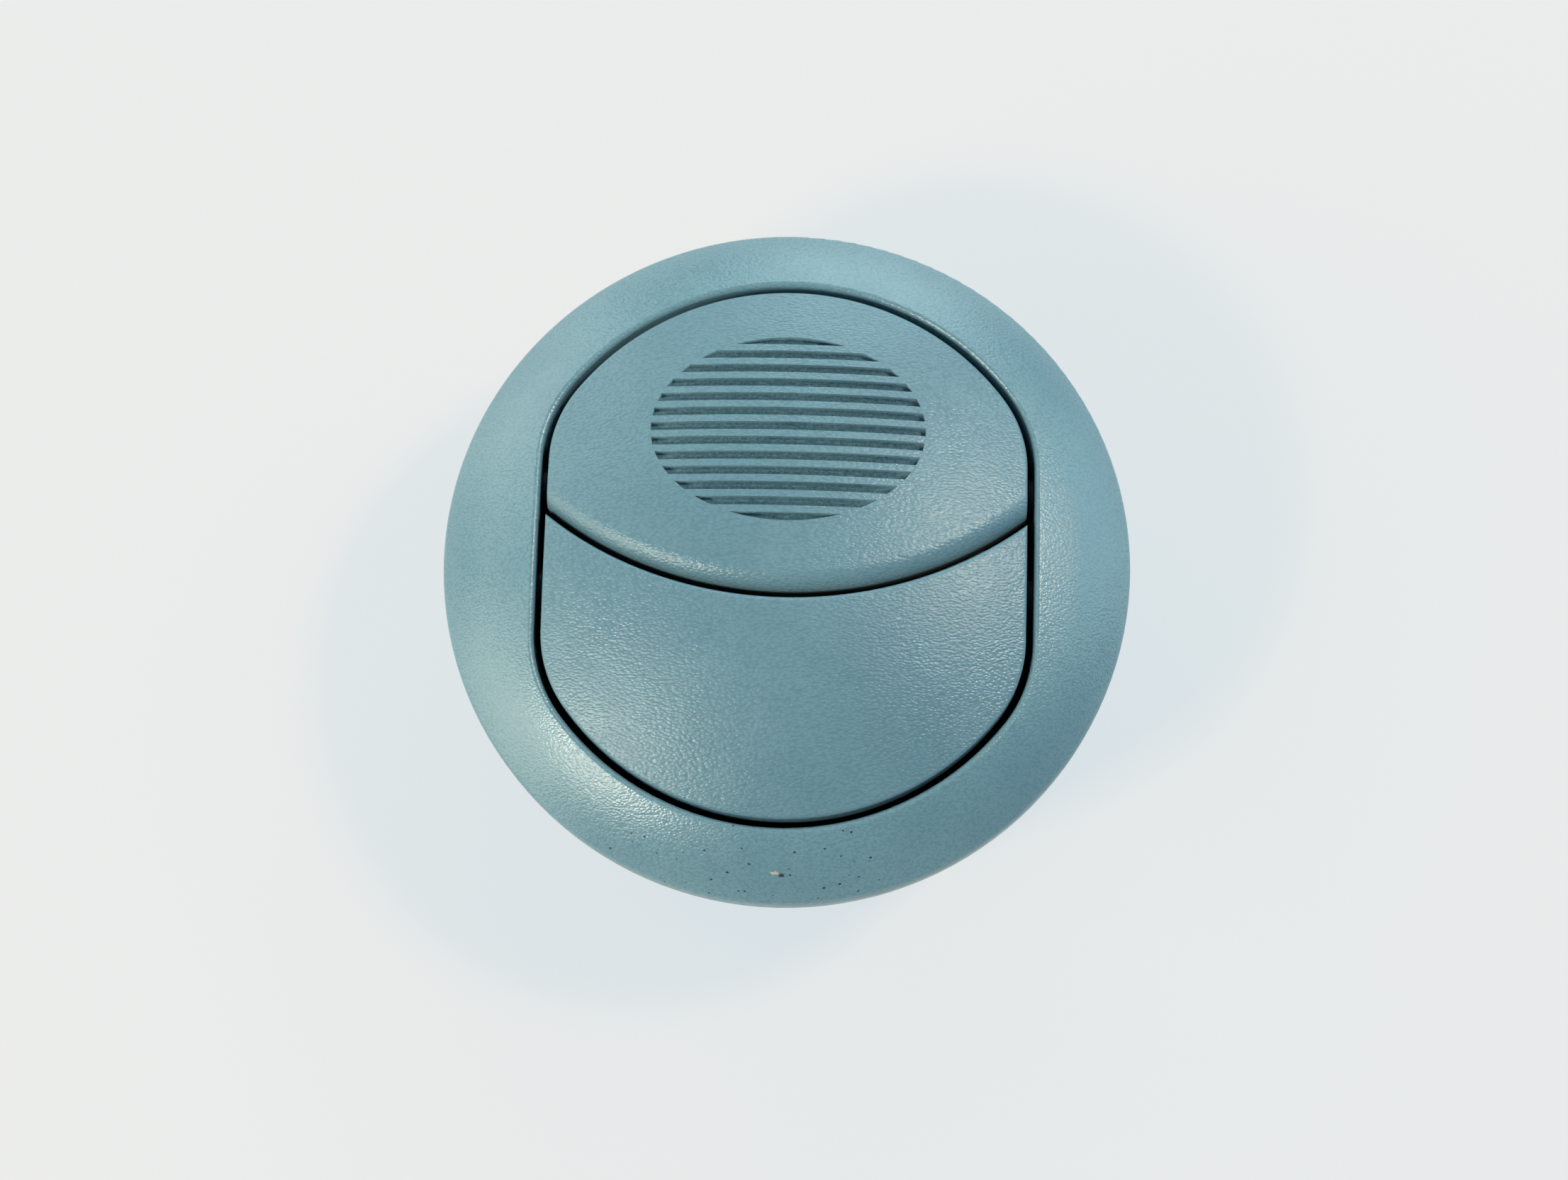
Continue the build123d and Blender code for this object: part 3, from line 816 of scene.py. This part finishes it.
@dataclass
class DuctSeal:
    """A strip of foam laid round the collar, its two ends butted together."""

    thickness: float = 0.96 * MM
    squeeze: float = 0.06 * MM
    corner: float = 0.3 * MM
    butt_gap: float = 0.5 * MM
    butt_angle: float = math.radians(75.0)
    uneven: float = 0.07 * MM
    lump_scale: float = 900.0
    strip_steps: int = 240
    corner_steps: int = 3
    section_steps: int = 36

    def section(self, grower: Grower, width: float) -> Socket:
        """Draw the strip's rounded section.

        Args:
            grower: The strip's tree.
            width: The strip's width along the collar.

        Returns:
            The section's curve.
        """
        block = grower.add(
            "GeometryNodeCurvePrimitiveQuadrilateral",
            Width=grower.setting("Thickness", "Float", self.thickness),
            Height=grower.setting("Width", "Float", width),
        )
        rounded = grower.add(
            "GeometryNodeFilletCurve",
            Curve=block.outputs[0],
            mode="POLY",
            Count=self.corner_steps,
            Radius=self.corner,
        )
        sides = grower.add("GeometryNodeResampleCurve", Curve=rounded.outputs[0], Count=self.section_steps)
        return sides.outputs[0]

    def lumpy(self, grower: Grower, shape: Socket) -> Socket:
        """Push a shape's points in and out a little.

        Args:
            grower: The strip's tree.
            shape: The shape.

        Returns:
            The uneven shape.
        """
        lumps = grower.add("ShaderNodeTexNoise", Scale=self.lump_scale, Detail=2.0)
        centred = grower.math("SUBTRACT", lumps.outputs["Fac"], 0.5)
        amount = grower.math("MULTIPLY", centred, grower.setting("Uneven", "Float", self.uneven))
        normal = grower.add("GeometryNodeInputNormal").outputs[0]
        push = grower.add("ShaderNodeVectorMath", operation="SCALE", N_0=normal, Scale=amount)
        return grower.add("GeometryNodeSetPosition", Geometry=shape, Offset=push.outputs[0]).outputs[0]

    def build(self) -> None:
        """Sweep the strip round the collar in place of its CAD solid."""
        low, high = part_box("duct_seal")
        middle = high[0] - self.squeeze - self.thickness / 2.0
        grower = Grower("foam_strip")
        gap = self.butt_gap / middle
        strip = grower.add(
            "GeometryNodeCurveArc",
            Resolution=self.strip_steps,
            Radius=grower.setting("Radius", "Float", middle),
            Start_Angle=self.butt_angle + gap / 2.0,
            Sweep_Angle=2.0 * math.pi - gap,
        )
        height = grower.setting("Height", "Vector", Vector((0.0, 0.0, (low[2] + high[2]) / 2.0)))
        raised = grower.add("GeometryNodeTransform", Geometry=strip.outputs["Curve"], Translation=height)
        upright = grower.add("GeometryNodeSetCurveNormal", Curve=raised.outputs[0], mode="Z_UP")
        swept = grower.add(
            "GeometryNodeCurveToMesh",
            Curve=upright.outputs[0],
            Profile_Curve=self.section(grower, high[2] - low[2] - 2.0 * self.squeeze),
            Fill_Caps=True,
        )
        smooth = grower.add("GeometryNodeSetShadeSmooth", Geometry=self.lumpy(grower, swept.outputs[0]))
        start = bpy.data.meshes.new("foam_start")
        piece = grower.grow("foam_strip", smooth.outputs[0], OpenFoam().build(), start)
        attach(piece, Body.COLLAR.value)
        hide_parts("duct_seal")
        log.info("%s: %d faces", piece.name, len(piece.data.polygons))


@dataclass
class WearMarks:
    """Specks of grime on the bezel's lower side and one chipped nick with a pit beside it."""

    face: DomedFace
    bezel: bpy.types.Object
    left: float = -21.0 * MM
    right: float = 13.0 * MM
    top: float = -34.6 * MM
    facing: float = 0.5
    density: float = 130000.0
    speck_radius: float = 0.15 * MM
    speck_shape: Point = (1.4, 1.0, 0.3)
    speck_steps: int = 2
    smallest: float = 0.25
    seed: int = 7
    nick_place: Pair = (-0.14 * MM, -40.35 * MM)
    nick_size: Point = (0.5 * MM, 0.26 * MM, 0.12 * MM)
    pit_place: Pair = (0.62 * MM, -40.6 * MM)
    pit_size: Point = (0.3 * MM, 0.2 * MM, 0.06 * MM)
    blob_steps: int = 4
    ragged_waves: tuple[tuple[float, Point], ...] = (
        (0.18, (5.0, 2.0, 0.0)),
        (0.12, (4.0, 9.0, 0.0)),
        (0.1, (6.0, 0.0, 11.0)),
    )

    def worn_side(self, grower: Grower, normal: Socket) -> Socket:
        """Test whether a point lies on the worn side of the bezel's face.

        Args:
            grower: The specks' tree.
            normal: The face's normal at the point.

        Returns:
            1 on the worn side and 0 elsewhere.
        """
        position = grower.add("GeometryNodeInputPosition").outputs[0]
        place = grower.add("ShaderNodeSeparateXYZ", N_0=position)
        up = grower.add("ShaderNodeSeparateXYZ", N_0=normal)
        inside = grower.math("GREATER_THAN", place.outputs["X"], self.left)
        limits = (
            ("LESS_THAN", place.outputs["X"], self.right),
            ("LESS_THAN", place.outputs["Y"], self.top),
            ("GREATER_THAN", up.outputs["Z"], self.facing),
        )
        for operation, value, limit in limits:
            inside = grower.math("MULTIPLY", inside, grower.math(operation, value, limit))
        return inside

    def specks(self, finish: bpy.types.Material) -> bpy.types.Object:
        """Scatter small flat specks over the lower part of the bezel's face.

        Args:
            finish: Material of the specks.

        Returns:
            The specks as one piece.
        """
        grower = Grower("speck_scatter")
        scattered = grower.add(
            "GeometryNodeDistributePointsOnFaces",
            Mesh=grower.source.outputs["Geometry"],
            Density=grower.setting("Density", "Float", self.density),
            Seed=grower.setting("Seed", "Int", self.seed),
        )
        kept = grower.add(
            "GeometryNodeSeparateGeometry",
            Geometry=scattered.outputs["Points"],
            Selection=self.worn_side(grower, scattered.outputs["Normal"]),
        )
        size = grower.setting("Size", "Float", self.speck_radius)
        ball = grower.add("GeometryNodeMeshIcoSphere", Radius=size, Subdivisions=self.speck_steps)
        flat = grower.add("GeometryNodeTransform", Geometry=ball.outputs[0], Scale=Vector(self.speck_shape))
        chance = grower.add("FunctionNodeRandomValue", N_2=self.smallest, N_3=1.0)
        placed = grower.add(
            "GeometryNodeInstanceOnPoints",
            Points=kept.outputs[0],
            Instance=flat.outputs[0],
            Rotation=scattered.outputs["Rotation"],
            Scale=chance.outputs[1],
        )
        return grower.grow("bezel_specks", placed.outputs[0], finish, self.bezel.data)

    def flake(
        self, name: str, place: Pair, size: Point, finish: bpy.types.Material
    ) -> bpy.types.Object:
        """Set a small ragged flake into the bezel's face.

        Args:
            name: The piece's name.
            place: Where it sits along X and Y.
            size: Half its length, width and height.
            finish: Its material.

        Returns:
            The piece.
        """
        spot = self.face.on_bezel(*place)
        turn = self.face.face_normal(spot).to_track_quat("Z", "Y").to_matrix().to_4x4()
        shape = bmesh.new()
        bmesh.ops.create_icosphere(shape, subdivisions=self.blob_steps, radius=1.0)
        for vertex in shape.verts:
            ragged = 1.0
            for height, wave in self.ragged_waves:
                ragged += height * math.sin(vertex.co.dot(wave))
            vertex.co = vertex.co * Vector(size) * ragged
        bmesh.ops.transform(shape, matrix=Matrix.Translation(spot) @ turn, verts=shape.verts)
        mesh = bpy.data.meshes.new(name)
        shape.to_mesh(mesh)
        shape.free()
        mesh.materials.append(finish)
        mesh.polygons.foreach_set("use_smooth", [True] * len(mesh.polygons))
        piece = bpy.data.objects.new(name, mesh)
        bpy.context.scene.collection.objects.link(piece)
        return piece

    def build(self) -> None:
        """Make the marks and set them on the bezel's body."""
        grime_and_shade = Grime().build()
        pieces = (
            self.specks(grime_and_shade),
            self.flake("bezel_nick", self.nick_place, self.nick_size, BareChip().build()),
            self.flake("bezel_pit", self.pit_place, self.pit_size, grime_and_shade),
        )
        for piece in pieces:
            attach(piece, Body.NOZZLE.value)
            log.info("%s: %d faces", piece.name, len(piece.data.polygons))


@dataclass
class Housing:
    """Collar, barrel, bushes, cranks, pins and link, which keep their CAD shapes."""

    black: tuple[str, ...] = (
        "mounting_collar",
        "barrel",
        "link_rod",
        "upper_left_bush",
        "lower_left_bush",
    )
    acetal: tuple[str, ...] = (
        "slip_ring",
        "upper_crank",
        "lower_crank",
        "upper_pivot_pin",
        "lower_pivot_pin",
    )
    soft: tuple[str, ...] = ("upper_right_bush", "lower_right_bush")

    def dress(self, nodes: tuple[str, ...], finish: bpy.types.Material) -> None:
        """Give CAD nodes a finish.

        Args:
            nodes: CAD nodes.
            finish: Their material.
        """
        for node in nodes:
            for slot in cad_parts[node].material_slots:
                slot.material = finish
            log.info("%s: dressed in %s", node, finish.name)

    def build(self) -> None:
        """Dress every housing node."""
        self.dress(self.black, BlackHousing().build())
        self.dress(self.acetal, NaturalAcetal().build())
        self.dress(self.soft, SoftRubber().build())


@dataclass(frozen=True)
class Lamp:
    """A square soft lamp that points at the vent."""

    name: str
    toward: Point
    power: float
    colour: Colour
    size: float = 0.13
    reach: float = 0.8
    aim_height: float = 0.03

    def build(self) -> None:
        """Add the lamp to the scene."""
        toward = Vector(self.toward)
        data = bpy.data.lights.new(self.name, "AREA")
        data.size = self.size
        data.energy = self.power
        data.color = self.colour
        lamp = bpy.data.objects.new(self.name, data)
        lamp.location = toward.normalized() * self.reach + Vector((0.0, 0.0, self.aim_height))
        lamp.rotation_euler = toward.to_track_quat("Z", "Y").to_euler()
        bpy.context.scene.collection.objects.link(lamp)


@dataclass
class Studio:
    """Pale floor, soft lamps and the camera at the photograph's angle."""

    tilt: float = 0.2215
    lean: float = -1.4913
    roll: float = -0.0263
    distance: float = 344.69 * MM
    focal_pixels: float = 3792.17
    offset_x: float = 0.2803 * MM
    offset_y: float = 3.561 * MM
    silhouette_height: float = 32.34 * MM
    image_width: float = 2212.0
    sensor_width: float = 36.0
    clip_start: float = 0.01
    clip_end: float = 20.0
    floor_half_side: float = 3.0
    floor_colour: Colour = (228, 230, 230)
    floor_roughness: float = 0.8
    shadow_loss: Colour = (0.235, 0.13, 0.07)
    floor_glow: Colour = (0.558, 0.683, 0.752)
    duct_radius: float = 40.5 * MM
    duct_edge: float = 0.98
    duct_painted_shade: Colour = (0.01, 0.01, 0.01)
    sky_strength: float = 0.2
    sky_colour: Colour = (0.25, 0.55, 1.0)
    lamps: tuple[Lamp, ...] = (
        Lamp("left_lamp", (-0.552, -0.432, 0.713), power=3.1, colour=(1.0, 0.96, 0.8)),
        Lamp("right_lamp", (0.527, 0.228, 0.819), power=3.0, colour=(1.0, 0.92, 0.76)),
    )
    window_height: float = 0.364
    window_size: float = 0.7
    window_reach: float = 1.0
    windows: tuple[tuple[float, float, Colour], ...] = (
        (20.0, 2.7, (0.64, 0.94, 1.0)),
        (80.0, 4.2, (0.78, 1.0, 0.99)),
        (140.0, 2.9, (0.97, 1.0, 0.89)),
        (200.0, 4.5, (0.98, 1.0, 0.79)),
    )

    def camera(self) -> None:
        """Place the camera that was fitted to the photograph."""
        lean = Matrix.Rotation(self.lean, 3, "Z")
        tip = Matrix.Rotation(-self.tilt, 3, "Y")
        to_view = lean @ tip @ lean.transposed() @ Matrix.Rotation(self.roll, 3, "Z")
        to_object = to_view.transposed()
        place = to_object @ Vector((-self.offset_x, -self.offset_y, self.distance))
        place += Vector((0.0, 0.0, self.silhouette_height))
        data = bpy.data.cameras.new("photo_camera")
        data.sensor_width = self.sensor_width
        data.lens = self.sensor_width * self.focal_pixels / self.image_width
        data.clip_start = self.clip_start
        data.clip_end = self.clip_end
        camera = bpy.data.objects.new("photo_camera", data)
        camera.matrix_world = Matrix.Translation(place) @ to_object.to_4x4()
        bpy.context.scene.collection.objects.link(camera)
        bpy.context.scene.camera = camera

    def table_white(self) -> bpy.types.Material:
        """Make the floor's finish, which the camera sees with faint bluish shadows and painted shade inside
        the duct.

        Returns:
            The finished material.
        """
        shader = Shader("table_white")
        shader.surface.inputs["Base Color"].default_value = linear(*self.floor_colour)
        shader.surface.inputs["Roughness"].default_value = self.floor_roughness
        seen = shader.nodes.new("ShaderNodeBsdfDiffuse")
        glow = shader.nodes.new("ShaderNodeEmission")
        glow.inputs["Color"].default_value = (*self.floor_glow, 1.0)
        reach = shader.reach((0.0, 0.0, 0.0), (self.duct_radius,) * 3)
        outside = shader.span(reach, self.duct_edge, 1.0, 0.0, 1.0)
        shader.links.new(outside, glow.inputs["Strength"])
        # Painted shade: inside the duct's radius the floor has no glow and a near-black colour for the
        # camera.
        loss = shader.mix(outside, (*self.duct_painted_shade, 1.0), (*self.shadow_loss, 1.0))
        shader.links.new(loss, seen.inputs["Color"])
        both = shader.nodes.new("ShaderNodeAddShader")
        shader.links.new(seen.outputs[0], both.inputs[0])
        shader.links.new(glow.outputs[0], both.inputs[1])
        path = shader.nodes.new("ShaderNodeLightPath")
        choice = shader.nodes.new("ShaderNodeMixShader")
        shader.links.new(path.outputs["Is Camera Ray"], choice.inputs[0])
        shader.links.new(shader.surface.outputs[0], choice.inputs[1])
        shader.links.new(both.outputs[0], choice.inputs[2])
        shader.links.new(choice.outputs[0], shader.nodes["Material Output"].inputs["Surface"])
        return shader.material

    def floor(self) -> None:
        """Lay the pale table top."""
        mesh = bpy.data.meshes.new("table_top")
        side = self.floor_half_side
        corners = [(-side, -side, 0.0), (side, -side, 0.0), (side, side, 0.0), (-side, side, 0.0)]
        mesh.from_pydata(corners, [], [(0, 1, 2, 3)])
        mesh.materials.append(self.table_white())
        floor = bpy.data.objects.new("table_top", mesh)
        bpy.context.scene.collection.objects.link(floor)

    def sky(self) -> None:
        """Set the even light all round."""
        world = bpy.data.worlds.new("room")
        world.use_nodes = True
        background = world.node_tree.nodes["Background"]
        background.inputs["Color"].default_value = (*self.sky_colour, 1.0)
        background.inputs["Strength"].default_value = self.sky_strength
        bpy.context.scene.world = world

    def window_lamps(self) -> list[Lamp]:
        """Give the broad low lamps that stand for a room's windows.

        Returns:
            The lamps, not yet in the scene.
        """
        lamps = []
        for turn, power, colour in self.windows:
            angle = math.radians(turn)
            toward = (math.cos(angle), math.sin(angle), self.window_height)
            name = f"window_{turn:.0f}"
            lamps.append(Lamp(name, toward, power, colour, self.window_size, self.window_reach))
        return lamps

    def build(self) -> None:
        """Set up the view, lamps, floor and colour handling."""
        self.camera()
        self.floor()
        lamps = [*self.lamps, *self.window_lamps()]
        for lamp in lamps:
            lamp.build()
        self.sky()
        bpy.context.scene.view_settings.view_transform = "Standard"
        log.info("studio: camera, floor and %d lamps", len(lamps))


def main() -> None:
    """Build every sub-assembly in order."""
    logging.basicConfig(level=logging.INFO, format="%(name)s %(message)s")
    face = DomedFace()
    bezel = face.build()
    Housing().build()
    DuctSeal().build()
    WearMarks(face, bezel).build()
    Studio().build()


if __name__ == "__main__":
    main()
